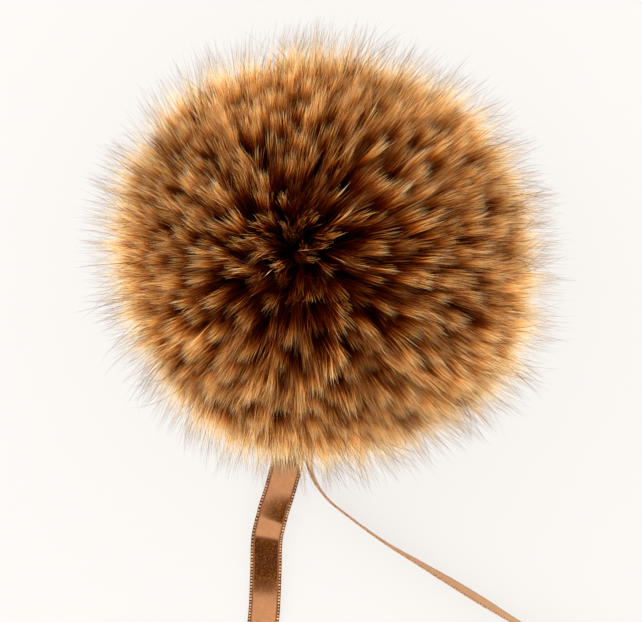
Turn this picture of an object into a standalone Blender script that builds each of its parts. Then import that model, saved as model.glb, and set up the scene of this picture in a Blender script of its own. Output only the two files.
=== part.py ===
"""Fur pom pom with a satin ribbon tie, modelled at real size in metres, +Z up.

The pom pom sits on a surface at z = 0, over the origin, with its gathered base down. It is one
solid: a core, which is the backing that every tuft grows from, and its locks, fused at the root and
standing apart above it. The locks under the ball are shorter and end level on the surface.
The ribbon is one solid too: a strip folded in half under the base, with two tails that run out
towards -Y. One tail lies flat in soft waves and the other stands on its edge.
"""

import math
import random
from collections import namedtuple

import bmesh
import bpy
from mathutils import Vector

# Driving sizes, in metres
FUR_REACH = 0.0665  # from the ball's middle to the tip of a usual lock
CORE_RADIUS = 0.038
MIDDLE_HEIGHT = 0.052  # of the ball above the surface
RIBBON_WIDTH = 0.010
RIBBON_THICKNESS = 0.001
GAP = 0.0004  # between pieces, and between the ribbon's two layers

# How the locks differ
SEED = 11
LENGTH_SPREAD = 0.0035
LONG_LOCK = 0.004  # what one lock in seven reaches further
LONG_SHARE = 1 / 7
FACE_JITTER = 0.10  # of an edge of the core, so that no two locks are alike
EVEN_BELOW = -0.85 * CORE_RADIUS  # from the ball's middle: under this the base stays even
ROOT_INSET = 0.0004
NECK_TAPER = 0.85  # the base's width as a share of the core's faces above it
TIP_WANDER = 0.75  # of the room that a thin section has in its own cone

# A lock's sections from root to tip: where it is, and its share of the cone over its root
LockSection = namedtuple("LockSection", "along width")
LOCK_SECTIONS = (
    LockSection(along=0.42, width=0.90),
    LockSection(along=0.78, width=0.62),
    LockSection(along=1.00, width=0.10),
)
PRESSED_TIP = 0.34  # the width of a tip that stands on the surface
PRESSED_ROOM = 0.001  # a lock that the surface would shorten by less than this ends clear of it
SURFACE_TRIES = 4  # to find where a lock meets the surface, whose height changes at the ribbon

# The ribbon's tails, from the fold outwards. Heights follow from the roll, the lift and the width.
RibbonRow = namedtuple("RibbonRow", "across along roll_deg lift")
FLAT_TAIL = (
    RibbonRow(0.0000, 0.0050, 0, 0.0000),
    RibbonRow(-0.0015, -0.0080, 0, 0.0000),
    RibbonRow(-0.0042, -0.0250, 0, 0.0000),
    RibbonRow(-0.0072, -0.0420, 0, 0.0001),
    RibbonRow(-0.0083, -0.0490, 0, 0.0008),
    RibbonRow(-0.0089, -0.0545, 0, 0.0024),
    RibbonRow(-0.0093, -0.0595, 0, 0.0044),
    RibbonRow(-0.0097, -0.0630, 0, 0.0050),
    RibbonRow(-0.0103, -0.0665, 2, 0.0047),
    RibbonRow(-0.0122, -0.0735, 4.5, 0.00358),
    RibbonRow(-0.0133, -0.0770, 4.5, 0.00328),
    RibbonRow(-0.0143, -0.0800, 4.5, 0.00318),
    RibbonRow(-0.0149, -0.0825, 4.5, 0.00313),
    RibbonRow(-0.0154, -0.0842, 4, 0.00308),
    RibbonRow(-0.0157, -0.0856, 2.5, 0.00286),
    RibbonRow(-0.0160, -0.0868, 1.2, 0.00256),
    RibbonRow(-0.0163, -0.0881, 0.2, 0.00230),
    RibbonRow(-0.0165, -0.0895, 0, 0.00219),
    RibbonRow(-0.0166, -0.0910, 0, 0.00216),
    RibbonRow(-0.0167, -0.0930, 0, 0.00215),
    RibbonRow(-0.0168, -0.0985, 0, 0.00212),
    RibbonRow(-0.0169, -0.1020, 0, 0.00208),
    RibbonRow(-0.0170, -0.1050, 0, 0.00196),
    RibbonRow(-0.0171, -0.1075, 0, 0.00181),
    RibbonRow(-0.0172, -0.1095, 0, 0.00162),
    RibbonRow(-0.0173, -0.1115, 0, 0.00134),
    RibbonRow(-0.0175, -0.1140, 0, 0.00086),
    RibbonRow(-0.0178, -0.1170, 0, 0.00036),
    RibbonRow(-0.0180, -0.1195, 0, 0.00005),
    RibbonRow(-0.0181, -0.1215, 0, 0.0000),
    RibbonRow(-0.0182, -0.1290, 0, 0.0000),
    RibbonRow(-0.0182, -0.1460, 0, 0.0000),
    RibbonRow(-0.0166, -0.1650, 0, 0.0008),
    RibbonRow(-0.0138, -0.1830, 0, 0.0004),
    RibbonRow(-0.0108, -0.1980, 0, 0.0000),
)
EDGE_TAIL = (
    RibbonRow(0.0000, 0.0050, 0, RIBBON_THICKNESS + GAP),
    RibbonRow(-0.0009, -0.0080, 0, RIBBON_THICKNESS + GAP),
    RibbonRow(-0.0012, -0.0250, 0, RIBBON_THICKNESS + GAP),
    RibbonRow(-0.0012, -0.0380, 9, 0.0011),
    RibbonRow(-0.0015, -0.0480, 32, 0.0006),
    RibbonRow(-0.0022, -0.0570, 66, 0.0000),
    RibbonRow(-0.0025, -0.0665, 83, 0.0000),
    RibbonRow(0.0022, -0.0755, 90, 0.0000),
    RibbonRow(0.0108, -0.0828, 91, 0.0000),
    RibbonRow(0.0220, -0.0908, 90, 0.0000),
    RibbonRow(0.0320, -0.0968, 86, 0.0000),
    RibbonRow(0.0430, -0.1034, 81, 0.0000),
    RibbonRow(0.0530, -0.1095, 80, 0.0000),
    RibbonRow(0.0633, -0.1158, 84, 0.0000),
    RibbonRow(0.0790, -0.1250, 88, 0.0000),
    RibbonRow(0.0960, -0.1345, 90, 0.0000),
    RibbonRow(0.1110, -0.1425, 90, 0.0000),
)
STEP_LENGTH = 0.004  # between the ribbon's sections
FOLD_STEPS = 8

# The room that the locks leave over the ribbon, which runs out below them
CORRIDOR_HALF_WIDTH = 0.0125
CORRIDOR_MIDDLE = -0.0040
CORRIDOR_BACK = 0.012
LAYERS_HEIGHT = 2 * RIBBON_THICKNESS + GAP
ROOM_OVER_RIBBON = 0.002
RISE_STARTS, RISE_ENDS = 0.024, 0.056  # from the ball's middle, where the edge tail turns up
UP = Vector((0, 0, 1))
MIDDLE = Vector((0, 0, MIDDLE_HEIGHT))


def clear_scene():
    """Removes what a new scene comes with."""
    for obj in list(bpy.data.objects):
        bpy.data.objects.remove(obj)


def make_material(name, colour, roughness, sheen):
    """A Principled BSDF with the piece's own colour, roughness and sheen."""
    material = bpy.data.materials.new(name)
    material.use_nodes = True
    shader = material.node_tree.nodes["Principled BSDF"]
    shader.inputs["Base Color"].default_value = (*colour, 1)
    shader.inputs["Roughness"].default_value = roughness
    shader.inputs["Metallic"].default_value = 0.0
    shader.inputs["Sheen Weight"].default_value = sheen
    material.diffuse_color = (*colour, 1)
    return material


def add_object(name, bm, material):
    """Puts a finished bmesh into the scene as one object."""
    mesh = bpy.data.meshes.new(name)
    bm.to_mesh(mesh)
    bm.free()
    obj = bpy.data.objects.new(name, mesh)
    obj.data.materials.append(material)
    bpy.context.collection.objects.link(obj)
    return obj


def smoothstep(low, high, value):
    """0 below low, 1 above high, and a soft rise between them."""
    share = min(1.0, max(0.0, (value - low) / (high - low)))
    return share * share * (3 - 2 * share)


# The fur


def lowest_fur(x, y):
    """The height that the locks stop at: the surface itself, or clear of the ribbon over it."""
    if abs(x - CORRIDOR_MIDDLE) > CORRIDOR_HALF_WIDTH or y > CORRIDOR_BACK:
        return 0.0
    rise = RIBBON_WIDTH * smoothstep(RISE_STARTS, RISE_ENDS, -y)
    return LAYERS_HEIGHT + ROOM_OVER_RIBBON + rise


def make_core(rng):
    """A round core of 320 uneven faces, each of which can carry a lock."""
    bm = bmesh.new()
    bmesh.ops.create_icosphere(bm, subdivisions=3, radius=CORE_RADIUS)
    edge = sum(e.calc_length() for e in bm.edges) / len(bm.edges)
    for vert in bm.verts:
        nudge = Vector([rng.uniform(-1, 1) for _ in range(3)]) * FACE_JITTER * edge
        if vert.co.z > EVEN_BELOW:
            vert.co = (vert.co + nudge).normalized() * CORE_RADIUS
    bmesh.ops.translate(bm, verts=bm.verts, vec=MIDDLE)
    return bm


def draw_base_down(bm):
    """Draws the five lowest faces down to a flat base, which is sewn on the ribbon's fold."""
    pole = min(bm.verts, key=lambda v: v.co.z)
    faces = list(pole.link_faces)
    made = bmesh.ops.extrude_face_region(bm, geom=faces)["geom"]
    for vert in [v for v in made if isinstance(v, bmesh.types.BMVert)]:
        vert.co = Vector((vert.co.x * NECK_TAPER, vert.co.y * NECK_TAPER, LAYERS_HEIGHT + GAP))
    bmesh.ops.delete(bm, geom=faces, context="FACES_ONLY")
    return [f for f in made if isinstance(f, bmesh.types.BMFace)]


def faces_around(faces):
    """These faces and all that share a corner with them."""
    return {near for face in faces for vert in face.verts for near in vert.link_faces}


def lock_length(axis, rng):
    """How far the lock reaches from the ball's middle, and the surface's height if it meets it."""
    reach = FUR_REACH + rng.uniform(-LENGTH_SPREAD, LENGTH_SPREAD)
    if rng.random() < LONG_SHARE:
        reach += LONG_LOCK
    if axis.z >= 0:
        return reach, None
    pressed = reach
    for _ in range(SURFACE_TRIES):
        point = MIDDLE + axis * pressed
        floor = lowest_fur(point.x, point.y)
        pressed = (MIDDLE_HEIGHT - floor) / -axis.z
    if pressed > reach - PRESSED_ROOM:
        return min(reach, pressed - PRESSED_ROOM), None
    return pressed, floor


def grow_lock(bm, face, rng):
    """Draws one face out into a lock that bends a little and stays in the cone over its root."""
    corners = [(v.co - MIDDLE) / CORE_RADIUS for v in face.verts]
    axis = sum(corners, Vector()) / len(corners)
    spokes = [corner - axis for corner in corners]
    nearest_edge = min((a + b).length / 2 for a, b in zip(spokes, spokes[1:] + spokes[:1]))
    reach, floor = lock_length(axis.normalized(), rng)
    lean = Vector([rng.uniform(-1, 1) for _ in range(3)])
    lean = (lean - axis * lean.dot(axis) / axis.length_squared).normalized()
    if axis.z < 0 and lean.z < 0:
        lean = -lean  # a low lock bends up, off the surface
    for section in LOCK_SECTIONS:
        width = section.width
        if floor is not None and section.along == 1:
            width = PRESSED_TIP
        distance = CORE_RADIUS + (reach - CORE_RADIUS) * section.along
        shift = lean * nearest_edge * (1 - width) * TIP_WANDER * section.along
        made = bmesh.ops.extrude_discrete_faces(bm, faces=[face])
        face = made["faces"][0]
        for vert, spoke in zip(face.verts, spokes):
            vert.co = MIDDLE + (axis + shift + spoke * width) * distance / axis.length
        if floor is not None and section.along == 1:
            for vert in face.verts:
                vert.co.z = floor


def build_pom(material):
    """The whole fur ball as one closed mesh."""
    rng = random.Random(SEED)
    bm = make_core(rng)
    neck = faces_around(faces_around(draw_base_down(bm)))
    roots = [f for f in bm.faces if f not in neck]
    roots.sort(key=lambda f: -f.calc_center_median().z)
    bmesh.ops.inset_individual(bm, faces=roots, thickness=ROOT_INSET)
    for face in roots:
        grow_lock(bm, face, rng)
    bmesh.ops.recalc_face_normals(bm, faces=bm.faces)
    print("locks:", len(roots))
    return add_object("fur_pom", bm, material)


# The ribbon


def between(a, b, c, d, t):
    """The value at t on the smooth curve from b to c, with a before and d after."""
    rise = (c - a) * t + (2 * a - 5 * b + 4 * c - d) * t * t
    return b + 0.5 * (rise + (3 * b - a - 3 * c + d) * t * t * t)


def resting_height(roll, lift):
    """The middle of a strip's height when its lower edge is that far above the surface."""
    rise = RIBBON_WIDTH / 2 * abs(math.sin(roll)) + RIBBON_THICKNESS / 2 * abs(math.cos(roll))
    return rise + max(0, lift)


def smooth_rows(rows):
    """Points and rolls about STEP_LENGTH apart on one smooth curve through the rows."""
    points, rolls = [], []
    for i in range(len(rows) - 1):
        near = [rows[max(i - 1, 0)], rows[i], rows[i + 1], rows[min(i + 2, len(rows) - 1)]]
        span = math.hypot(near[2].across - near[1].across, near[2].along - near[1].along)
        steps = max(1, round(span / STEP_LENGTH))
        for k in range(steps + (i == len(rows) - 2)):
            across, along, roll, lift = (between(*values, k / steps) for values in zip(*near))
            roll = math.radians(roll)
            points.append(Vector((across, along, resting_height(roll, lift))))
            rolls.append(roll)
    return points, rolls


def tail_sections(rows):
    """(middle, width direction, upward normal) of each section of a tail, from the fold out."""
    points, rolls = smooth_rows(rows)
    sections = []
    for i, (point, roll) in enumerate(zip(points, rolls)):
        way = (points[min(i + 1, len(points) - 1)] - points[max(i - 1, 0)]).normalized()
        side = way.cross(UP).normalized()
        normal = side.cross(way)
        if i == 0:
            side, normal = Vector((-1, 0, 0)), UP
        width = side * math.cos(roll) + normal * math.sin(roll)
        upward = normal * math.cos(roll) - side * math.sin(roll)
        sections.append((point, width, upward))
    return sections


def fold_sections(lower, upper):
    """The half turn that joins the two tails under the base."""
    middle = (lower[0] + upper[0]) / 2
    radius = (upper[0] - lower[0]).length / 2
    inward = Vector((0, 1, 0))
    for i in range(1, FOLD_STEPS):
        turn = math.pi * i / FOLD_STEPS
        outward = inward * math.sin(turn) - UP * math.cos(turn)
        yield middle + outward * radius, lower[1], -outward


def build_ribbon(material):
    """The ribbon as one strip: the flat tail, the fold, and the tail on its edge."""
    flat = tail_sections(FLAT_TAIL)
    edge = [(point, width, -upward) for point, width, upward in tail_sections(EDGE_TAIL)]
    sections = flat[::-1] + list(fold_sections(flat[0], edge[0])) + edge
    bm = bmesh.new()
    rings = []
    for point, width, normal in sections:
        half_width = width * RIBBON_WIDTH / 2
        half_depth = normal * RIBBON_THICKNESS / 2
        corners = (half_width + half_depth, half_depth - half_width,
                   -half_width - half_depth, half_width - half_depth)
        rings.append([bm.verts.new(point + corner) for corner in corners])
    for near, far in zip(rings, rings[1:]):
        for k in range(4):
            bm.faces.new((near[k], near[(k + 1) % 4], far[(k + 1) % 4], far[k]))
    bm.faces.new(rings[0][::-1])
    bm.faces.new(rings[-1])
    bmesh.ops.recalc_face_normals(bm, faces=bm.faces)
    length = sum((b[0] - a[0]).length for a, b in zip(sections, sections[1:]))
    print("ribbon length:", round(length, 4))
    return add_object("ribbon_tie", bm, material)


def main():
    clear_scene()
    fur = make_material("fur", colour=(0.31, 0.16, 0.065), roughness=0.95, sheen=0.3)
    satin = make_material("satin", colour=(0.42, 0.22, 0.12), roughness=0.38, sheen=0.1)
    build_pom(fur)
    build_ribbon(satin)


main()
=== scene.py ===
# %% [markdown]
# # A fur pom pom on a satin ribbon
#
# The real thing is a disc of long-pile faux fur, gathered up and stuffed until the pile stands out
# all round like a ball, with one folded ribbon sewn under the gather. Its two tails lie on the
# table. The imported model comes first, because every new piece has to sit where its solid is.

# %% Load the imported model
import math

import bmesh
import bpy
import numpy as np
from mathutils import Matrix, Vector


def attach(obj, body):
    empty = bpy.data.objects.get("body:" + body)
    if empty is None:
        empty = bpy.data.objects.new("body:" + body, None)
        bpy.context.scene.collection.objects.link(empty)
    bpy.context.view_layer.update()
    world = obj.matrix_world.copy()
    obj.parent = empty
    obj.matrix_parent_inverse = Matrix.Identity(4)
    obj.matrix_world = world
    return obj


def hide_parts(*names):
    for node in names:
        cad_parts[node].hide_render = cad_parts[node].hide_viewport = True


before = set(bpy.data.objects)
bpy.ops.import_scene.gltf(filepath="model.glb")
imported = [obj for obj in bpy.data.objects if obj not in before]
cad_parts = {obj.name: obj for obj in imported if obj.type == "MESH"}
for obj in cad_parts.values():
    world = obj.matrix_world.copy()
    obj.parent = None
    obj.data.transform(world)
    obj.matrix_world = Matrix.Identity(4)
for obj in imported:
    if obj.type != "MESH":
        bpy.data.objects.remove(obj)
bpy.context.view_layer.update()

# %% [markdown]
# ## Sizes
#
# The pile grows out of a backing that the stuffing holds in a ball. Nothing of the backing shows,
# but it keeps the light from coming through, so it is there as a dark ball inside the pile.
# All sizes are in metres.

# %% Sizes of the ball
MIDDLE = np.array([0.0, 0.0, 0.052])
BACKING_RADIUS = 0.0365
ROOT_RADIUS = 0.0360
PILE_REACH = 0.0642
print("pile length:", round(PILE_REACH - ROOT_RADIUS, 4))


# %% [markdown]
# ## Camera, floor and light
#
# The photograph looks straight down on the ball from well above it. The frame is 207 mm wide on the
# table. The floor is a plain pale sheet. The light comes from a white room all round and a soft box
# at the left, so the shadow is faint. Only the place over the camera is dark, as it is behind a real
# camera, which is why the level parts of the satin look dark. The floor and the walls give the fur
# more light than the camera sees on the floor or the satin mirrors, or both would be blown out.

# %% Camera
FRAME_WIDTH = 0.2071
CAMERA_HEIGHT = 0.80
CAMERA_PLACE = (0.0009, -0.0163)

bpy.ops.object.select_all(action="DESELECT")
bpy.ops.object.camera_add(location=(*CAMERA_PLACE, CAMERA_HEIGHT), rotation=(0, 0, 0))
camera = bpy.context.object
camera.name = "camera"
camera.data.sensor_width = 36
camera.data.lens = camera.data.sensor_width * CAMERA_HEIGHT / FRAME_WIDTH
camera.data.clip_start = 0.05
camera.data.clip_end = 20
bpy.context.scene.camera = camera
print("lens:", round(camera.data.lens, 1), "mm")

# %% Floor
FLOOR_TO_CAMERA = 0.785
FLOOR_TO_PIECES = 1.35


def plain_material(name, colour, roughness):
    """A Principled BSDF with one colour."""
    material = bpy.data.materials.new(name)
    material.use_nodes = True
    shader = material.node_tree.nodes["Principled BSDF"]
    shader.inputs["Base Color"].default_value = (*colour, 1)
    shader.inputs["Roughness"].default_value = roughness
    return material


bpy.ops.object.select_all(action="DESELECT")
bpy.ops.mesh.primitive_plane_add(size=6, location=(0, 0, -0.0002))
floor = bpy.context.object
floor.name = "floor"
table_finish = plain_material("pale_table", (0.07, 0.069, 0.068), 0.8)
table_nodes = table_finish.node_tree.nodes
table_links = table_finish.node_tree.links
table_shader = table_nodes["Principled BSDF"]
table_shader.inputs["Emission Color"].default_value = (1, 0.97, 0.94, 1)
ray_kind = table_nodes.new("ShaderNodeLightPath")
glow = table_nodes.new("ShaderNodeMapRange")
glow.inputs["To Min"].default_value = FLOOR_TO_PIECES
glow.inputs["To Max"].default_value = FLOOR_TO_CAMERA
table_links.new(ray_kind.outputs["Is Camera Ray"], glow.inputs["Value"])
table_links.new(glow.outputs["Result"], table_shader.inputs["Emission Strength"])
floor.data.materials.append(table_finish)
print("floor:", floor.dimensions[:2])


# %% Lights
def soft_box(name, place, size, power, aim=(0, 0, 0.03)):
    """A square area light that points at the pom pom."""
    data = bpy.data.lights.new(name, "AREA")
    data.shape = "SQUARE"
    data.size = size
    data.energy = power
    light = bpy.data.objects.new(name, data)
    bpy.context.collection.objects.link(light)
    light.location = place
    light.rotation_euler = (Vector(aim) - Vector(place)).to_track_quat("-Z", "Y").to_euler()
    return light


soft_box("soft_box_left", (-1.1, 0.7, 1.1), 0.9, 9)
ROOM_STRENGTH = 3.2
ROOM_LIGHT = (
    # height of a direction, from the floor's level to straight up, and the light from there
    (0.00, (1.20, 1.18, 1.15)),
    (0.40, (1.02, 1.00, 0.97)),
    (0.74, (0.62, 0.608, 0.589)),
    (0.955, (0.62, 0.608, 0.589)),
    (0.978, (0.05, 0.010, 0.006)),
    (1.00, (0.03, 0.003, 0.003)),
)
MIRRORED_LIGHT = (
    # the same, as the satin mirrors it: the walls would be too bright there
    (0.00, (0.26, 0.255, 0.25)),
    (0.40, (0.30, 0.295, 0.29)),
    (0.74, (0.67, 0.657, 0.636)),
    (0.955, (0.67, 0.657, 0.636)),
    *ROOM_LIGHT[4:],
)


def ramp(nodes, stops):
    """A colour ramp with these stops."""
    node = nodes.new("ShaderNodeValToRGB")
    elements = node.color_ramp.elements
    while len(elements) < len(stops):
        elements.new(0.5)
    for element, (place, colour) in zip(elements, stops):
        element.position = place
        element.color = (*colour, 1)
    return node


room = bpy.data.worlds.new("white_room")
room.use_nodes = True
room_nodes = room.node_tree.nodes
room_links = room.node_tree.links
way_out = room_nodes.new("ShaderNodeTexCoord")
split_way = room_nodes.new("ShaderNodeSeparateXYZ")
kind_of_ray = room_nodes.new("ShaderNodeLightPath")
lit = ramp(room_nodes, ROOM_LIGHT)
mirrored = ramp(room_nodes, MIRRORED_LIGHT)
either = room_nodes.new("ShaderNodeMix")
either.data_type = "RGBA"
room_links.new(way_out.outputs["Generated"], split_way.inputs["Vector"])
room_links.new(split_way.outputs["Z"], lit.inputs["Fac"])
room_links.new(split_way.outputs["Z"], mirrored.inputs["Fac"])
room_links.new(kind_of_ray.outputs["Is Glossy Ray"], either.inputs["Factor"])
room_links.new(lit.outputs["Color"], either.inputs["A"])
room_links.new(mirrored.outputs["Color"], either.inputs["B"])
room_links.new(either.outputs["Result"], room_nodes["Background"].inputs["Color"])
room_nodes["Background"].inputs["Strength"].default_value = ROOM_STRENGTH
bpy.context.scene.world = room
bpy.context.scene.view_settings.view_transform = "Standard"
bpy.context.scene.view_settings.look = "None"

# %% [markdown]
# ## How the pile is arranged
#
# Long pile doesn't stand like a brush. Hairs cling together in wisps, wisps lean together in tufts,
# and neighbouring tufts are combed the same way. So each hair is placed in three steps: a tuft, a
# wisp in it, and the hair in the wisp. The pile also parts round the crown, where the dark roots
# show between the tufts.

# %% Even places on a ball, and soft waves over it
def unit(v):
    """The vectors at length one."""
    return v / np.linalg.norm(v, axis=-1, keepdims=True)


def even_directions(count, rng, jitter):
    """Directions spread evenly over a ball, each nudged a little."""
    i = np.arange(count) + 0.5
    z = 1 - 2 * i / count
    turn = i * math.pi * (3 - math.sqrt(5))
    ring = np.sqrt(1 - z * z)
    even = np.stack([ring * np.cos(turn), ring * np.sin(turn), z], axis=1)
    return unit(even + rng.normal(scale=jitter, size=even.shape))


def soft_waves(directions, rng, waves, tightness):
    """A smooth number between about -1 and 1 for each direction."""
    total = np.zeros(len(directions))
    for _ in range(waves):
        way = unit(rng.normal(size=3)) * tightness * rng.uniform(0.7, 1.4)
        total += np.sin(directions @ way + rng.uniform(0, 2 * math.pi))
    return total / math.sqrt(waves / 2)


def across(directions, vectors):
    """The part of each vector that lies along the ball's surface."""
    return vectors - directions * np.sum(directions * vectors, axis=1, keepdims=True)


# %% How the tufts are combed
CROWN_OPENING = 0.55
CROWN_WIDTH = 0.75
WHORL_SHIFT = np.array([0.09, 0.0, 0.0])
DROOP = np.array([0.0, 0.0, -0.05])


def combing(directions, rng):
    """How far each tuft's tip leans from its root, as a vector along the ball."""
    flat = directions * np.array([1, 1, 0])
    angle = np.arccos(np.clip(directions[:, 2], -1, 1))
    spread = CROWN_OPENING * angle * np.exp(-((angle / CROWN_WIDTH) ** 2))
    outward = flat / np.maximum(np.linalg.norm(flat, axis=1, keepdims=True), 1e-6)
    lean = outward * spread[:, None] + WHORL_SHIFT + DROOP
    for tightness, strength in ((5.0, 0.025), (11.0, 0.02)):
        waves = np.stack([soft_waves(directions, rng, 6, tightness) for _ in range(3)], axis=1)
        lean += waves * strength
    return across(directions, lean)


# %% The outline from above
OUTLINE = (
    # degrees from +X, further out than round
    (0, 0.0014), (30, 0.0016), (60, 0.0002), (75, -0.0026), (90, -0.0020), (120, -0.0016),
    (135, 0.0008), (165, 0.0010), (180, 0.0008), (210, -0.0024), (240, -0.0020), (270, -0.0004),
    (300, -0.0006), (330, 0.0062), (348, 0.0028),
)


def outline_bumps(directions):
    """How far the ball bulges beyond round on each side."""
    turn = np.degrees(np.arctan2(directions[:, 1], directions[:, 0])) % 360
    angles, bulges = zip(*OUTLINE)
    level = np.linalg.norm(directions[:, :2], axis=1) ** 2
    return np.interp(turn, (*angles, 360), (*bulges, bulges[0])) * level


# %% Tufts and wisps
TUFTS = 2200
WISPS = 11000
CROWN_WAY = unit(np.array([-0.06, 0.0, 1.0]))
CROWN_DIP, DIP_WIDTH = 0.003, 0.35
PALE_SHARE = 0.56
CROWN_DARKER, DARK_WIDTH = 0.75, 0.42
PALE_TONES, DARK_TONES = (0.70, 1.0), (0.06, 0.48)
DARK_SHORTER = 0.0014
rng = np.random.default_rng(7)
tufts = even_directions(TUFTS, rng, 0.02)
tuft_lean = combing(tufts, rng) + across(tufts, rng.normal(scale=0.035, size=(TUFTS, 3)))
tuft_reach = PILE_REACH + outline_bumps(tufts) + 0.0008 * soft_waves(tufts, rng, 8, 6.0)
tuft_reach += rng.normal(scale=0.0010, size=TUFTS)
tuft_reach -= CROWN_DIP * np.exp(-((np.arccos(tufts[:, 2]) / DIP_WIDTH) ** 2))
tuft_tone = 0.08 * soft_waves(tufts, rng, 8, 9.0) + rng.normal(scale=0.07, size=TUFTS)
tuft_hold = rng.uniform(0.15, 0.55, TUFTS)
wisps = even_directions(WISPS, rng, 0.012)
wisp_tuft = np.argmax(wisps @ tufts.T, axis=1)
wisp_angle = np.arccos(np.clip(wisps @ CROWN_WAY, -1, 1))
wisp_crown = np.exp(-((wisp_angle / DARK_WIDTH) ** 2))
wisp_pale = rng.random(WISPS) < PALE_SHARE * (1 - CROWN_DARKER * wisp_crown)
wisp_tone = np.where(wisp_pale, rng.uniform(*PALE_TONES, WISPS), rng.uniform(*DARK_TONES, WISPS))
wisp_reach = np.where(wisp_pale, 0.0, -DARK_SHORTER) - rng.gamma(1.5, 0.0012, WISPS)
wisp_bend = rng.normal(scale=0.025, size=(WISPS, 3))
wisp_tint = rng.normal(scale=0.05, size=WISPS)
print("tufts:", TUFTS, "wisps:", WISPS)

# %% [markdown]
# ## Hairs
#
# A hair is a flat blade of three triangles, wide at the root and closed to a point. All the hairs of
# one part of the ball are one mesh, made from arrays, because there are far too many to add one by
# one. Each blade is turned at random round its own length, so some face the light and some don't.
# Towards the sides some hairs are longer, and the hairs there are made paler further down the pile: painted
# light for the bright rim.

# %% The table under the pile
RIBBON_ROOM = 0.0115


def lowest_hair(x, y):
    """The height at which a hair stops: the table, or clear of the ribbon that lies on it."""
    near = (np.abs(x + 0.004) < RIBBON_ROOM) & (y < 0.010)
    rise = np.clip((-y - 0.024) / 0.032, 0, 1)
    over = 0.0036 + 0.0100 * rise * rise * (3 - 2 * rise)
    return np.where(near, over, 0.0003)


# %% Where one set of hairs runs
CROWN_THINNING = 0.45
ODD_HAIRS = 0.06
LONG_HAIRS = 0.17
LONGER_AT_MOST = 0.0125
SIDES_FROM, SIDES_OVER = 0.95, 0.45
WISP_WIDTH, WISP_CLING = 0.45, 0.70
SHORTEST_PILE = 0.008
STEPS = np.array([0.0, 0.66, 1.0])
# how far the sides' hairs are moved up the ramps at each step, so they are paler: painted light for the
# bright rim
PAINTED_LIGHT_AT_SIDES = np.array([0.0, 0.105, 0.026])


def hair_paths(chosen, each, rng):
    """Points of every hair of the chosen wisps, with how deep each lies and each hair's tone."""
    wisp = np.repeat(chosen, each)
    wisp = wisp[rng.random(len(wisp)) > CROWN_THINNING * wisp_crown[wisp]]
    count = len(wisp)
    tuft = wisp_tuft[wisp]
    spread = math.sqrt(4 * math.pi / WISPS)
    in_wisp = across(wisps[wisp], rng.normal(scale=WISP_WIDTH * spread, size=(count, 3)))
    in_tuft = across(tufts[tuft], wisps[wisp] - tufts[tuft])
    reach = tuft_reach[tuft] + wisp_reach[wisp] - rng.gamma(1.1, 0.0014, count)
    sideways = np.clip((np.arccos(wisps[wisp, 2]) - SIDES_FROM) / SIDES_OVER, 0, 1)
    long = rng.random(count) < LONG_HAIRS * (0.03 + sideways)
    reach += np.where(long, rng.gamma(2.0, 0.0030, count).clip(0, LONGER_AT_MOST), 0)
    reach -= 0.004 * np.clip(np.linalg.norm(in_tuft, axis=1) / 0.1, 0, 1) ** 2
    reach = np.maximum(reach, ROOT_RADIUS + SHORTEST_PILE)
    bend = across(wisps[wisp], rng.normal(scale=0.016, size=(count, 3)) + wisp_bend[wisp])
    wave = across(wisps[wisp], rng.normal(scale=0.008, size=(count, 3)))
    tone = np.clip(tuft_tone[tuft] + wisp_tone[wisp] + rng.normal(scale=0.035, size=count), 0, 1)
    tone = np.where(rng.random(count) < ODD_HAIRS, rng.uniform(0, 0.35, count), tone)
    points = []
    depths = []
    for step in STEPS:
        way = tufts[tuft] + tuft_lean[tuft] * step ** 1.4
        way = way + in_tuft * (1 - tuft_hold[tuft] * step ** 1.6)[:, None]
        way = way + in_wisp * (1 - WISP_CLING * step ** 1.3)
        way = way + bend * step ** 2 + wave * math.sin(math.pi * step)
        radius = ROOT_RADIUS + (reach - ROOT_RADIUS) * step
        points.append(MIDDLE + unit(way) * radius[:, None])
        depths.append((radius - ROOT_RADIUS) / (0.65 * tuft_reach[tuft] + 0.35 * reach - ROOT_RADIUS))
    depths = np.stack(depths, axis=1) + wisp_tint[wisp][:, None] * STEPS * (1 - STEPS) * 4
    # the sides' hairs are made paler: painted light for the bright rim
    depths += sideways[:, None] * PAINTED_LIGHT_AT_SIDES
    return settle(np.stack(points, axis=1), rng), depths, tone


def settle(points, rng):
    """Shortens the hairs that would go through the table, and splays them out a little on it."""
    tips = points[:, -1]
    roots = points[:, 0]
    drop = roots[:, 2] - tips[:, 2]
    floor_here = lowest_hair(tips[:, 0], tips[:, 1]) + rng.uniform(0, 0.0016, len(points))
    keep = np.where(tips[:, 2] < floor_here, (roots[:, 2] - floor_here) / np.maximum(drop, 1e-4), 1)
    keep = np.clip(keep, 0.2, 1)
    out = points[:, -1] * np.array([1, 1, 0])
    out = out / np.maximum(np.linalg.norm(out, axis=1, keepdims=True), 1e-6)
    cut = (1 - keep)[:, None] * np.linalg.norm(tips - roots, axis=1, keepdims=True)
    settled = points.copy()
    for k, step in enumerate(STEPS):
        settled[:, k] = roots + (points[:, k] - roots) * keep[:, None]
        settled[:, k] += out * cut * 0.45 * step ** 2
    return settled


# %% Blades along the paths
TONES = 64
LONGEST = 1.3
HAIR_WIDTHS = np.array([0.00018, 0.00017, 0.0])


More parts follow.
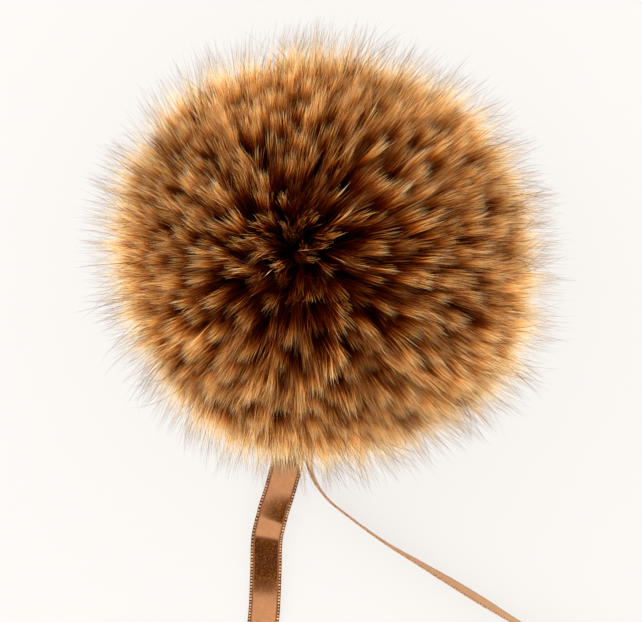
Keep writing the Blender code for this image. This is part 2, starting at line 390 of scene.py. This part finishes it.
def blades(name, points, depths, tones, widths, rng):
    """One mesh of flat tapered hairs. Its UV map runs over the tones and along the pile."""
    count, rows = points.shape[:2]
    along = unit(points[:, -1] - points[:, 0])
    side = unit(np.cross(along, rng.normal(size=(count, 3))))
    left = points - side[:, None] * widths[None, :, None] / 2
    right = points + side[:, None] * widths[None, :, None] / 2
    pairs = rows - 1
    vertices = np.empty((count, 2 * pairs + 1, 3))
    vertices[:, 0:-1:2] = left[:, :-1]
    vertices[:, 1:-1:2] = right[:, :-1]
    vertices[:, -1] = points[:, -1]
    corners = []
    for k in range(pairs - 1):
        corners += [2 * k, 2 * k + 1, 2 * k + 3, 2 * k + 2]
    corners += [2 * pairs - 2, 2 * pairs - 1, 2 * pairs]
    first = np.arange(count)[:, None] * (2 * pairs + 1)
    loops = (first + np.array(corners)).ravel()
    sizes = np.array([4] * (pairs - 1) + [3])
    starts = np.arange(count)[:, None] * len(corners) + np.concatenate([[0], np.cumsum(sizes)[:-1]])
    mesh = bpy.data.meshes.new(name)
    mesh.vertices.add(vertices.shape[0] * vertices.shape[1])
    mesh.vertices.foreach_set("co", vertices.astype(np.float32).ravel())
    mesh.loops.add(len(loops))
    mesh.loops.foreach_set("vertex_index", loops.astype(np.int32))
    mesh.polygons.add(starts.size)
    mesh.polygons.foreach_set("loop_start", starts.astype(np.int32).ravel())
    mesh.update(calc_edges=True)
    column = np.minimum((tones * TONES).astype(int), TONES - 1)
    u = np.empty((count, 2 * pairs + 1))
    v = np.empty_like(u)
    u[:, 0:-1:2] = ((column + 0.2) / TONES)[:, None]
    u[:, 1:-1:2] = ((column + 0.8) / TONES)[:, None]
    u[:, -1] = (column + 0.5) / TONES
    v[:, 0:-1:2] = depths[:, :-1]
    v[:, 1:-1:2] = depths[:, :-1]
    v[:, -1] = depths[:, -1]
    uv = np.stack([u, np.clip(v, 0, LONGEST) / LONGEST], axis=2).reshape(-1, 2)[loops]
    layer = mesh.uv_layers.new(name="OFBake")
    layer.data.foreach_set("uv", uv.astype(np.float32).ravel())
    piece = bpy.data.objects.new(name, mesh)
    bpy.context.collection.objects.link(piece)
    return piece


# %% [markdown]
# ## Fur colours
#
# The pile is dyed dark brown and its ends are tinted tan. The map on each hair gives its tone from
# left to right and its depth from bottom to top, so one ramp makes the pale hairs and another the
# dark ones, and the tone mixes them.

# %% Fur material
THROUGH_HAIR = 0.45


def fur_material(name, pale, dark, roughness):
    """Fur whose ramps run from the roots to the tips, mixed by each hair's tone."""
    material = bpy.data.materials.new(name)
    material.use_nodes = True
    nodes = material.node_tree.nodes
    links = material.node_tree.links
    shader = nodes["Principled BSDF"]
    uv = nodes.new("ShaderNodeUVMap")
    uv.uv_map = "OFBake"
    split = nodes.new("ShaderNodeSeparateXYZ")
    links.new(uv.outputs["UV"], split.inputs["Vector"])
    pale_ramp, dark_ramp = (
        ramp(nodes, [(depth / LONGEST, colour) for depth, colour in stops]) for stops in (pale, dark)
    )
    links.new(split.outputs["Y"], pale_ramp.inputs["Fac"])
    links.new(split.outputs["Y"], dark_ramp.inputs["Fac"])
    mix = nodes.new("ShaderNodeMix")
    mix.data_type = "RGBA"
    links.new(split.outputs["X"], mix.inputs["Factor"])
    links.new(dark_ramp.outputs["Color"], mix.inputs["A"])
    links.new(pale_ramp.outputs["Color"], mix.inputs["B"])
    links.new(mix.outputs["Result"], shader.inputs["Base Color"])
    through = nodes.new("ShaderNodeBsdfTranslucent")
    links.new(mix.outputs["Result"], through.inputs["Color"])
    both = nodes.new("ShaderNodeMixShader")
    both.inputs["Fac"].default_value = THROUGH_HAIR
    links.new(shader.outputs["BSDF"], both.inputs[1])
    links.new(through.outputs["BSDF"], both.inputs[2])
    links.new(both.outputs["Shader"], nodes["Material Output"].inputs["Surface"])
    shader.inputs["Roughness"].default_value = roughness
    shader.inputs["Specular IOR Level"].default_value = 0.0
    return material


fur = fur_material(
    "fur",
    pale=(
        (0.00, (0.004, 0.0003, 0.0000)),
        (0.50, (0.028, 0.0022, 0.0001)),
        (0.68, (0.092, 0.0072, 0.0002)),
        (0.775, (0.390, 0.088, 0.008)),
        (0.855, (0.860, 0.410, 0.095)),
        (0.92, (1.000, 0.745, 0.350)),
        (0.97, (0.920, 0.780, 0.500)),
        # past 1.0 the hairs stand out of the pile in full light, and their tips darken again: painted
        # shade, so that they are not too bright
        (1.01, (0.620, 0.510, 0.330)),
        (1.06, (0.350, 0.245, 0.140)),
        (1.16, (0.200, 0.125, 0.070)),
    ),
    dark=(
        (0.00, (0.004, 0.0003, 0.0000)),
        (0.55, (0.028, 0.0022, 0.0001)),
        (0.75, (0.060, 0.0042, 0.0001)),
        (0.90, (0.112, 0.0085, 0.0003)),
        (0.965, (0.500, 0.245, 0.075)),
        (1.00, (0.620, 0.430, 0.230)),
        # past 1.0, on hairs standing out of the pile, painted shade again
        (1.05, (0.360, 0.225, 0.110)),
        (1.16, (0.170, 0.090, 0.038)),
    ),
    roughness=0.9,
)
print("material:", fur.name)

# %% [markdown]
# ## The pile
#
# The ball's pile is five pieces, from the crown down, so that none of them is too heavy. The upper
# ones have the most hairs to a wisp, because they are seen most.

# %% Grow the pile
BANDS = (
    ("pile_crown", 0.58, 1.01, 28),
    ("pile_shoulder", 0.18, 0.58, 29),
    ("pile_side", -0.22, 0.18, 29),
    ("pile_haunch", -0.56, -0.22, 25),
    ("pile_under", -0.93, -0.56, 17),
)
pile = []
for number, (name, low, high, each) in enumerate(BANDS):
    chosen = np.flatnonzero((wisps[:, 2] >= low) & (wisps[:, 2] < high))
    band_rng = np.random.default_rng(100 + number)
    paths, depths, tones = hair_paths(chosen, each, band_rng)
    piece = blades(name, paths, depths, tones, HAIR_WIDTHS, band_rng)
    piece.data.materials.append(fur)
    pile.append(piece)
    print(name, "hairs:", len(paths), "triangles:", 3 * len(paths))

# %% [markdown]
# ## Guard hairs
#
# Some long dark hairs stand out past the pile all round. They come in small sheaves that lean the
# same way, and most of them are nearly straight.

# %% Grow the guard hairs
SHEAVES = 370
IN_SHEAF = 6
GUARD_ROOT = 0.048
GUARD_LONGER_AT_MOST = 0.0105
GUARD_TONE = 0.1
LOWEST_GUARD = -0.75
GUARD_STEPS = np.array([0.0, 0.3, 0.5, 0.65, 0.78, 0.9, 1.0])
GUARD_WIDTHS = np.array([0.00010, 0.00010, 0.00010, 0.00009, 0.00007, 0.00004, 0.0])
guard_rng = np.random.default_rng(51)
sheaves = even_directions(SHEAVES, guard_rng, 0.05)
sheaf_lean = combing(sheaves, np.random.default_rng(7)) + guard_rng.normal(scale=0.07, size=sheaves.shape)
sheaf_bend = guard_rng.normal(scale=0.050, size=sheaves.shape)
sheaf_reach = guard_rng.normal(scale=0.0012, size=SHEAVES)
member = np.repeat(np.arange(SHEAVES), IN_SHEAF)
ways = unit(sheaves[member] + guard_rng.normal(scale=0.030, size=(len(member), 3)))
high_enough = ways[:, 2] > LOWEST_GUARD
member, ways = member[high_enough], ways[high_enough]
lean = across(ways, sheaf_lean[member] + guard_rng.normal(scale=0.035, size=ways.shape))
bend = across(ways, sheaf_bend[member] + guard_rng.normal(scale=0.030, size=ways.shape))
reach = PILE_REACH + 0.001 + outline_bumps(ways) + sheaf_reach[member]
reach += guard_rng.gamma(3.0, 0.0018, len(ways)).clip(0, GUARD_LONGER_AT_MOST)
guard_points = []
for step in GUARD_STEPS:
    way = unit(ways + lean * step ** 1.4 + bend * step ** 3.5)
    guard_points.append(MIDDLE + way * (GUARD_ROOT + (reach - GUARD_ROOT) * step)[:, None])
guard_points = np.stack(guard_points, axis=1)
clear = (guard_points[..., 2] > lowest_hair(guard_points[..., 0], guard_points[..., 1])).all(axis=1)
ways, guard_points = ways[clear], guard_points[clear]
guard_depths = np.tile(0.2 + 0.68 * GUARD_STEPS, (len(ways), 1))
guard_tones = np.full(len(ways), GUARD_TONE)
guard = blades("guard_hairs", guard_points, guard_depths, guard_tones, GUARD_WIDTHS, guard_rng)
guard.data.materials.append(fur)
print("guard hairs:", len(ways), "triangles:", 11 * len(ways))

# %% [markdown]
# ## The backing
#
# The gathered backing is a stuffed ball of dark knitted cloth. Its edge is drawn together under the
# ball, in pleats that end in a small flat neck, and the neck is sewn on the ribbon's fold. A ball
# with rings and columns has a round end that can be drawn down and pleated.

# %% Draw the backing down to its neck
NECK_RADIUS = 0.0085
NECK_BOTTOM = 0.0028
PLEATS = 16
NECK_STEPS = ((0.35, 0.92), (0.40, 0.97), (0.25, 1.06))  # share of the way down, width
bpy.ops.object.select_all(action="DESELECT")
bpy.ops.mesh.primitive_uv_sphere_add(
    segments=64, ring_count=40, radius=BACKING_RADIUS, location=tuple(MIDDLE)
)
backing = bpy.context.object
backing.name = "backing"
bpy.ops.object.transform_apply(location=True, rotation=True, scale=True)
bpy.ops.object.mode_set(mode="EDIT")
shell = bmesh.from_edit_mesh(backing.data)
bpy.ops.mesh.select_all(action="DESELECT")
mouth = MIDDLE[2] - math.sqrt(BACKING_RADIUS ** 2 - NECK_RADIUS ** 2)
for face in shell.faces:
    face.select = face.calc_center_median().z < mouth
bmesh.update_edit_mesh(backing.data)
for drop, width in NECK_STEPS:
    fall = (0, 0, (NECK_BOTTOM - mouth) * drop)
    bpy.ops.mesh.extrude_region_move(TRANSFORM_OT_translate={"value": fall})
    bpy.ops.transform.resize(value=(width, width, 1))
for vertex in shell.verts:
    if vertex.select:
        vertex.co.z = NECK_BOTTOM
bmesh.update_edit_mesh(backing.data)
bpy.ops.object.mode_set(mode="OBJECT")
print("neck: from", round(mouth, 4), "down to", min(v.co.z for v in backing.data.vertices))

# %% Pleat it
for vertex in backing.data.vertices:
    x, y, z = vertex.co
    gather = min(max((0.030 - z) / 0.020, 0), 1) * (z > NECK_BOTTOM + 0.0002)
    fold = 1 + 0.05 * gather * math.cos(PLEATS * math.atan2(y, x))
    vertex.co.x, vertex.co.y = x * fold, y * fold
bpy.ops.object.shade_smooth_by_angle(angle=math.radians(50))
knit = plain_material("dark_knit", (0.010, 0.004, 0.002), 0.9)
knit_nodes = knit.node_tree.nodes
knit_links = knit.node_tree.links
knit_place = knit_nodes.new("ShaderNodeTexCoord")
loops_of_knit = knit_nodes.new("ShaderNodeTexVoronoi")
loops_of_knit.inputs["Scale"].default_value = 900
knit_bump = knit_nodes.new("ShaderNodeBump")
knit_bump.inputs["Strength"].default_value = 0.6
knit_bump.inputs["Distance"].default_value = 0.0003
knit_colour = ramp(knit_nodes, ((0.0, (0.016, 0.007, 0.004)), (0.7, (0.005, 0.002, 0.001))))
knit_links.new(knit_place.outputs["Object"], loops_of_knit.inputs["Vector"])
knit_links.new(loops_of_knit.outputs["Distance"], knit_bump.inputs["Height"])
knit_links.new(loops_of_knit.outputs["Distance"], knit_colour.inputs["Fac"])
knit_links.new(knit_colour.outputs["Color"], knit_nodes["Principled BSDF"].inputs["Base Color"])
knit_links.new(knit_bump.outputs["Normal"], knit_nodes["Principled BSDF"].inputs["Normal"])
backing.data.materials.append(knit)
print("backing:", [round(x, 4) for x in backing.dimensions])

# %% [markdown]
# ## The ribbon
#
# The tie is one length of 10 mm satin ribbon, folded in half under the ball. It is a sheet, so a
# grid is cut to the flat ribbon's size first, and then laid along its route: the flat tail, the
# fold, and the tail that stands on its edge. The grid's own UV map stays the flat cloth, and the
# weave follows it.

# %% Where the ribbon lies
RIBBON_WIDTH = 0.010
RIBBON_THICKNESS = 0.00035
LAYER_LIFT = 0.0014
ROW_LENGTH = 0.001
FLAT_TAIL = (
    # across, along, roll in degrees, lift
    (0.0000, 0.0050, 0, 0.0000),
    (-0.0015, -0.0080, 0, 0.0000),
    (-0.0042, -0.0250, 0, 0.0000),
    (-0.0072, -0.0420, 0, 0.0001),
    (-0.0083, -0.0490, 0, 0.0008),
    (-0.0089, -0.0545, 0, 0.0024),
    (-0.0093, -0.0595, 0, 0.0044),
    (-0.0097, -0.0630, 0, 0.0050),
    (-0.0103, -0.0665, 2, 0.0047),
    (-0.0122, -0.0735, 4.5, 0.00358),
    (-0.0133, -0.0770, 4.5, 0.00328),
    (-0.0143, -0.0800, 4.5, 0.00318),
    (-0.0149, -0.0825, 4.5, 0.00313),
    (-0.0154, -0.0842, 4, 0.00308),
    (-0.0157, -0.0856, 2.5, 0.00286),
    (-0.0160, -0.0868, 1.2, 0.00256),
    (-0.0163, -0.0881, 0.2, 0.00230),
    (-0.0165, -0.0895, 0, 0.00219),
    (-0.0166, -0.0910, 0, 0.00216),
    (-0.0167, -0.0930, 0, 0.00215),
    (-0.0168, -0.0985, 0, 0.00212),
    (-0.0169, -0.1020, 0, 0.00208),
    (-0.0170, -0.1050, 0, 0.00196),
    (-0.0171, -0.1075, 0, 0.00181),
    (-0.0172, -0.1095, 0, 0.00162),
    (-0.0173, -0.1115, 0, 0.00134),
    (-0.0175, -0.1140, 0, 0.00086),
    (-0.0178, -0.1170, 0, 0.00036),
    (-0.0180, -0.1195, 0, 0.00005),
    (-0.0181, -0.1215, 0, 0.0000),
    (-0.0182, -0.1290, 0, 0.0000),
    (-0.0182, -0.1460, 0, 0.0000),
    (-0.0166, -0.1650, 0, 0.0008),
    (-0.0138, -0.1830, 0, 0.0004),
    (-0.0108, -0.1980, 0, 0.0000),
)
EDGE_TAIL = (
    (0.0000, 0.0050, 0, LAYER_LIFT),
    (-0.0009, -0.0080, 0, LAYER_LIFT),
    (-0.0012, -0.0250, 0, LAYER_LIFT),
    (-0.0012, -0.0380, 9, 0.0011),
    (-0.0015, -0.0480, 32, 0.0006),
    (-0.0022, -0.0570, 66, 0.0000),
    (-0.0025, -0.0665, 83, 0.0000),
    (0.0022, -0.0755, 90, 0.0000),
    (0.0108, -0.0828, 91, 0.0000),
    (0.0220, -0.0908, 90, 0.0000),
    (0.0320, -0.0968, 86, 0.0000),
    (0.0430, -0.1034, 81, 0.0000),
    (0.0530, -0.1095, 80, 0.0000),
    (0.0633, -0.1158, 84, 0.0000),
    (0.0790, -0.1250, 88, 0.0000),
    (0.0960, -0.1345, 90, 0.0000),
    (0.1110, -0.1425, 90, 0.0000),
)


def between(a, b, c, d, t):
    """The value at t on the smooth curve from b to c, with a before and d after."""
    rise = (c - a) * t + (2 * a - 5 * b + 4 * c - d) * t * t
    return b + 0.5 * (rise + (3 * b - a - 3 * c + d) * t * t * t)


def tail_sections(rows):
    """(middle, width direction, upward normal) along a tail, from the fold out."""
    spots, rolls = [], []
    for i in range(len(rows) - 1):
        near = [rows[max(i - 1, 0)], rows[i], rows[i + 1], rows[min(i + 2, len(rows) - 1)]]
        span = math.hypot(near[2][0] - near[1][0], near[2][1] - near[1][1])
        steps = max(1, round(span / ROW_LENGTH))
        for k in range(steps + (i == len(rows) - 2)):
            x, y, roll, lift = (between(*values, k / steps) for values in zip(*near))
            roll = math.radians(roll)
            rise = RIBBON_WIDTH / 2 * abs(math.sin(roll)) + RIBBON_THICKNESS / 2 * abs(math.cos(roll))
            spots.append(Vector((x, y, rise + max(0, lift))))
            rolls.append(roll)
    sections = []
    for i, (spot, roll) in enumerate(zip(spots, rolls)):
        way = (spots[min(i + 1, len(spots) - 1)] - spots[max(i - 1, 0)]).normalized()
        side = way.cross(Vector((0, 0, 1))).normalized()
        normal = side.cross(way)
        width = side * math.cos(roll) + normal * math.sin(roll)
        sections.append((spot, width, normal * math.cos(roll) - side * math.sin(roll)))
    return sections


def fold_sections(lower, upper):
    """The half turn that joins the two tails under the ball."""
    centre = (lower[0] + upper[0]) / 2
    radius = (upper[0] - lower[0]).length / 2
    for i in range(1, 9):
        turn = math.pi * i / 9
        outward = Vector((0, math.sin(turn), -math.cos(turn)))
        yield centre + outward * radius, lower[1], -outward


flat_tail = tail_sections(FLAT_TAIL)
edge_tail = [(spot, width, -normal) for spot, width, normal in tail_sections(EDGE_TAIL)]
ribbon_route = flat_tail[::-1] + list(fold_sections(flat_tail[0], edge_tail[0])) + edge_tail
run = np.cumsum([0] + [(b[0] - a[0]).length for a, b in zip(ribbon_route, ribbon_route[1:])])
RIBBON_LENGTH = float(run[-1])
print("ribbon:", len(ribbon_route), "rows,", round(RIBBON_LENGTH, 4), "m long")


# %% Lay the ribbon
ACROSS = 12
CURL = 0.00012


def on_ribbon(u, s, lift=0.0):
    """The place at u across, from 0 to 1, and s metres along, that far over the satin side."""
    row = float(np.interp(s, run, np.arange(len(run))))
    i = min(int(row), len(run) - 2)
    t = row - i
    spot, width, normal = (a.lerp(b, t) for a, b in zip(ribbon_route[i], ribbon_route[i + 1]))
    cup = CURL * (2 * u - 1) ** 2
    return spot + width * ((u - 0.5) * RIBBON_WIDTH) + normal * (cup + lift)


bpy.ops.object.select_all(action="DESELECT")
rows = round(RIBBON_LENGTH / ROW_LENGTH)
bpy.ops.mesh.primitive_grid_add(x_subdivisions=ACROSS, y_subdivisions=rows, size=1, location=(0, 0, 0))
ribbon = bpy.context.object
ribbon.name = "satin_ribbon"
for vertex in ribbon.data.vertices:
    vertex.co = on_ribbon(vertex.co.x + 0.5, (vertex.co.y + 0.5) * RIBBON_LENGTH)
bpy.ops.object.mode_set(mode="EDIT")
bpy.ops.mesh.select_all(action="SELECT")
bpy.ops.mesh.flip_normals()
bpy.ops.object.mode_set(mode="OBJECT")
ribbon.data.materials.append(None)
ribbon.data.materials.append(None)
wall = ribbon.modifiers.new("thickness", "SOLIDIFY")
wall.thickness = RIBBON_THICKNESS
wall.offset = 0
wall.material_offset = 1
bpy.ops.object.modifier_apply(modifier="thickness")
bpy.ops.object.shade_smooth_by_angle(angle=math.radians(40))
print("ribbon quads:", len(ribbon.data.polygons))

# %% [markdown]
# ## Satin
#
# Satin is woven so that long threads float on one face. That face is glossy, and it shows copper
# where it turns to the light and dark brown where it doesn't. The gloss on top of the dyed threads is
# white, so a coat gives it, and the threads' own colour is deeper. The edges are woven plain, so they
# stay matte. Both faces have the same weave, so it is one node group with each face's own values.

# %% Small helpers for node work
def new_group(name, inputs, outputs):
    """An empty node group, with its sockets given as (name, kind, value) and (name, kind)."""
    tree = bpy.data.node_groups.new(name, "ShaderNodeTree")
    for label, kind, value in inputs:
        tree.interface.new_socket(label, in_out="INPUT", socket_type=kind).default_value = value
    for label, kind in outputs:
        tree.interface.new_socket(label, in_out="OUTPUT", socket_type=kind)
    return tree


def stretched(tree, place, scale):
    """The place, with each of its directions multiplied."""
    mapping = tree.nodes.new("ShaderNodeMapping")
    mapping.inputs["Scale"].default_value = scale
    tree.links.new(place, mapping.inputs["Vector"])
    return mapping.outputs["Vector"]


def between_values(tree, value, low, high):
    """A mask that is 0 up to the low value and 1 from the high one."""
    mask = tree.nodes.new("ShaderNodeMapRange")
    mask.inputs["From Min"].default_value = low
    mask.inputs["From Max"].default_value = high
    tree.links.new(value, mask.inputs["Value"])
    return mask.outputs["Result"]


def maths(tree, operation, a, b=0.0):
    """A Math node on two sockets or numbers."""
    node = tree.nodes.new("ShaderNodeMath")
    node.operation = operation
    for socket, value in zip(node.inputs, (a, b)):
        if isinstance(value, float):
            socket.default_value = value
        else:
            tree.links.new(value, socket)
    return node.outputs[0]


def mixed(tree, kind, mask, a, b):
    """A where the mask is 0 and B where it is 1."""
    node = tree.nodes.new("ShaderNodeMix")
    node.data_type = kind
    for name, value in (("Factor", mask), ("A", a), ("B", b)):
        if isinstance(value, (float, tuple)):
            node.inputs[name].default_value = value
        else:
            tree.links.new(value, node.inputs[name])
    return node.outputs["Result"]


def pattern(tree, kind, place, **settings):
    """A noise or Voronoi texture at this place, with its inputs set by name."""
    texture = tree.nodes.new(kind)
    texture.inputs["Scale"].default_value = 1.0
    for name, value in settings.items():
        texture.inputs[name].default_value = value
    tree.links.new(place, texture.inputs["Vector"])
    return texture


# %% The weave, as a node group for both faces
SELVEDGE, SELVEDGE_BLUR = 0.0012, 0.0001
STITCHED, STITCHED_BLUR = 0.00062, 0.00005
HALF_WIDTH = RIBBON_WIDTH / 2
EDGE_ROUGHNESS = 0.75
UNDER_STITCHES = (0.020, 0.0070, 0.0028, 1)
weave = new_group(
    "ribbon_weave",
    inputs=(
        ("Low", "NodeSocketColor", (0.2, 0.1, 0.05, 1)),
        ("High", "NodeSocketColor", (0.3, 0.1, 0.05, 1)),
        ("Selvedge", "NodeSocketColor", (0.2, 0.1, 0.05, 1)),
        ("Middle Roughness", "NodeSocketFloat", 0.2),
        ("Relief", "NodeSocketFloat", 1.0),
    ),
    outputs=(
        ("Colour", "NodeSocketColor"),
        ("Roughness", "NodeSocketFloat"),
        ("Satin", "NodeSocketFloat"),
        ("Normal", "NodeSocketVector"),
    ),
)
given = weave.nodes.new("NodeGroupInput")
result = weave.nodes.new("NodeGroupOutput")
cloth = weave.nodes.new("ShaderNodeUVMap")
cloth.uv_map = "UVMap"
metres = stretched(weave, cloth.outputs["UV"], (RIBBON_WIDTH, RIBBON_LENGTH, 1))
split_place = weave.nodes.new("ShaderNodeSeparateXYZ")
weave.links.new(metres, split_place.inputs["Vector"])
from_middle = maths(weave, "ABSOLUTE", maths(weave, "SUBTRACT", split_place.outputs["X"], HALF_WIDTH))
edge, ground = (
    between_values(weave, from_middle, HALF_WIDTH - width - blur, HALF_WIDTH - width + blur)
    for width, blur in ((SELVEDGE, SELVEDGE_BLUR), (STITCHED, STITCHED_BLUR))
)
floats = pattern(weave, "ShaderNodeTexNoise", stretched(weave, metres, (9000, 1400, 1)), Detail=2.0)
dots = pattern(weave, "ShaderNodeTexVoronoi", stretched(weave, metres, (2700, 2300, 1)), Randomness=0.9)
plain = pattern(weave, "ShaderNodeTexVoronoi", stretched(weave, metres, (4200, 4200, 1)), Randomness=0.35)
cloud = pattern(weave, "ShaderNodeTexNoise", stretched(weave, metres, (260, 260, 1)), Detail=3.0)
own_size = maths(weave, "POWER", dots.outputs["Color"], 3.0)
glints = maths(weave, "MULTIPLY", dots.outputs["Distance"], own_size)
satin_height = mixed(weave, "FLOAT", 0.85, floats.outputs["Fac"], glints)
height = mixed(weave, "FLOAT", edge, satin_height, plain.outputs["Distance"])
bump = weave.nodes.new("ShaderNodeBump")
bump.inputs["Distance"].default_value = 0.000035
weave.links.new(given.outputs["Relief"], bump.inputs["Strength"])
weave.links.new(height, bump.inputs["Height"])
# The middle's colour is lighter in cloudy patches of uneven tone, and on the bigger dots where the bump
# makes glints: painted glints on top of those.
tone_and_painted_glints = mixed(weave, "FLOAT", 0.6, between_values(weave, cloud.outputs["Fac"], 0.3, 0.7), own_size)
middle = mixed(weave, "RGBA", tone_and_painted_glints, given.outputs["Low"], given.outputs["High"])
woven = mixed(weave, "RGBA", edge, middle, given.outputs["Selvedge"])
colour = mixed(weave, "RGBA", ground, woven, UNDER_STITCHES)
weave.links.new(colour, result.inputs["Colour"])
roughness = mixed(weave, "FLOAT", edge, given.outputs["Middle Roughness"], EDGE_ROUGHNESS)
weave.links.new(roughness, result.inputs["Roughness"])
weave.links.new(maths(weave, "SUBTRACT", 1.0, edge), result.inputs["Satin"])
weave.links.new(bump.outputs["Normal"], result.inputs["Normal"])
print("group:", weave.name, "sockets:", [s.name for s in weave.interface.items_tree])


# %% Satin material
def ribbon_material(name, low, high, selvedge, roughness, relief):
    """One face of the ribbon, woven by the group."""
    material = plain_material(name, low, roughness)
    nodes = material.node_tree.nodes
    links = material.node_tree.links
    shader = nodes["Principled BSDF"]
    cloth = nodes.new("ShaderNodeGroup")
    cloth.node_tree = weave
    cloth.inputs["Low"].default_value = (*low, 1)
    cloth.inputs["High"].default_value = (*high, 1)
    cloth.inputs["Selvedge"].default_value = (*selvedge, 1)
    cloth.inputs["Middle Roughness"].default_value = roughness
    cloth.inputs["Relief"].default_value = relief
    links.new(cloth.outputs["Colour"], shader.inputs["Base Color"])
    links.new(cloth.outputs["Roughness"], shader.inputs["Roughness"])
    links.new(cloth.outputs["Normal"], shader.inputs["Normal"])
    shader.inputs["Specular IOR Level"].default_value = 0.05
    return material, shader, cloth


satin, satin_shader, satin_cloth = ribbon_material(
    "copper_satin", (0.222, 0.077, 0.0120), (0.365, 0.129, 0.0230), (0.215, 0.091, 0.042), 0.150, 0.9
)
satin_shader.inputs["Metallic"].default_value = 0.96
satin_shader.inputs["Coat Roughness"].default_value = 0.12
satin_shader.inputs["Coat IOR"].default_value = 1.55
satin.node_tree.links.new(satin_cloth.outputs["Satin"], satin_shader.inputs["Coat Weight"])
back, _, _ = ribbon_material(
    "satin_back", (0.315, 0.165, 0.076), (0.375, 0.198, 0.093), (0.285, 0.145, 0.067), 0.6, 1.5
)
ribbon.data.materials[0] = satin
ribbon.data.materials[1] = back
print("materials:", [m.name for m in ribbon.data.materials])

# %% [markdown]
# ## Edge stitches
#
# Along both edges of the ribbon runs a fine gold-brown cord, held by small even stitches with dark
# gaps between them. One stitch is shaped from a cube and copied all the way along.

# %% One stitch
STITCH_PITCH = 0.00098
STITCH_SIZE = (0.00062, 0.00060, 0.00054)
STITCH_ROUNDING = 0.00016
bpy.ops.object.select_all(action="DESELECT")
bpy.ops.mesh.primitive_cube_add(size=1, location=(0, 0, 0))
stitch = bpy.context.object
stitch.name = "stitch"
bpy.ops.object.mode_set(mode="EDIT")
bpy.ops.mesh.select_all(action="SELECT")
bpy.ops.transform.resize(value=STITCH_SIZE)
bpy.ops.mesh.bevel(offset=STITCH_ROUNDING, segments=2, affect="EDGES")
bpy.ops.object.mode_set(mode="OBJECT")
stitch_points = np.array([v.co[:] for v in stitch.data.vertices])
stitch_faces = [tuple(face.vertices) for face in stitch.data.polygons]
bpy.data.objects.remove(stitch)
print("faces on a stitch:", len(stitch_faces))

# %% Thread
thread = plain_material("gold_brown_thread", (0.5, 0.27, 0.12), 0.45)
thread_tree = thread.node_tree
thread_shader = thread_tree.nodes["Principled BSDF"]
thread_place = thread_tree.nodes.new("ShaderNodeTexCoord").outputs["Object"]
thread_tones, fibres = (
    pattern(thread_tree, "ShaderNodeTexNoise", stretched(thread_tree, thread_place, (scale,) * 3))
    for scale in (1100, 8000)
)
thread_colour = ramp(thread_tree.nodes, ((0.35, (0.30, 0.135, 0.050)), (0.65, (0.58, 0.33, 0.17))))
thread_bump = thread_tree.nodes.new("ShaderNodeBump")
thread_bump.inputs["Strength"].default_value = 0.6
thread_bump.inputs["Distance"].default_value = 0.00004
thread_tree.links.new(thread_tones.outputs["Fac"], thread_colour.inputs["Fac"])
thread_tree.links.new(thread_colour.outputs["Color"], thread_shader.inputs["Base Color"])
thread_tree.links.new(fibres.outputs["Fac"], thread_bump.inputs["Height"])
thread_tree.links.new(thread_bump.outputs["Normal"], thread_shader.inputs["Normal"])
print("material:", thread.name)

# %% Copy it along both edges
NEARBY = 0.0004


def edge_frame(u, s):
    """The place on the ribbon, and the directions across it and along it there."""
    width = (on_ribbon(1, s) - on_ribbon(0, s)).normalized()
    way = (on_ribbon(u, s + NEARBY) - on_ribbon(u, s - NEARBY)).normalized()
    return on_ribbon(u, s), width, way


points, faces = [], []
stitch_rng = np.random.default_rng(5)
for u in (0.042, 0.958):
    for k in range(int(RIBBON_LENGTH / STITCH_PITCH)):
        here, width, way = edge_frame(u, (k + 0.5) * STITCH_PITCH)
        turned = np.array([width[:], way[:], width.cross(way)[:]])
        size_here = stitch_rng.uniform(0.88, 1.1)
        first = len(points)
        points.extend(np.array(here[:]) + stitch_points * size_here @ turned)
        faces.extend(tuple(first + i for i in face) for face in stitch_faces)
print("faces on the stitches:", len(faces))

# %% The cord outside them
CORD_RADIUS = 0.00014
CORD_SIDES = 6
for u in (0.006, 0.994):
    first = len(points)
    for s in np.arange(0, RIBBON_LENGTH, ROW_LENGTH):
        here, width, way = edge_frame(u, s)
        for k in range(CORD_SIDES):
            turn = 2 * math.pi * k / CORD_SIDES
            points.append(here + (width * math.cos(turn) + width.cross(way) * math.sin(turn)) * CORD_RADIUS)
    rings = (len(points) - first) // CORD_SIDES
    for i in range(rings - 1):
        for k in range(CORD_SIDES):
            near, far = first + i * CORD_SIDES, first + (i + 1) * CORD_SIDES
            after = (k + 1) % CORD_SIDES
            faces.append((near + k, far + k, far + after, near + after))
    faces.append(tuple(range(first, first + CORD_SIDES)))
    faces.append(tuple(range(len(points) - 1, len(points) - 1 - CORD_SIDES, -1)))
mesh = bpy.data.meshes.new("edge_stitches")
mesh.from_pydata([tuple(p) for p in points], [], faces)
stitches = bpy.data.objects.new("edge_stitches", mesh)
bpy.context.collection.objects.link(stitches)
for face in mesh.polygons:
    face.use_smooth = True
stitches.data.materials.append(thread)
print("faces on the stitches and cords:", len(faces))

# %% Who rides on what
for piece in [*pile, guard, backing]:
    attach(piece, "root")
    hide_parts("fur_pom")
for piece in (ribbon, stitches):
    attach(piece, "root")
    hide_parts("ribbon_tie")
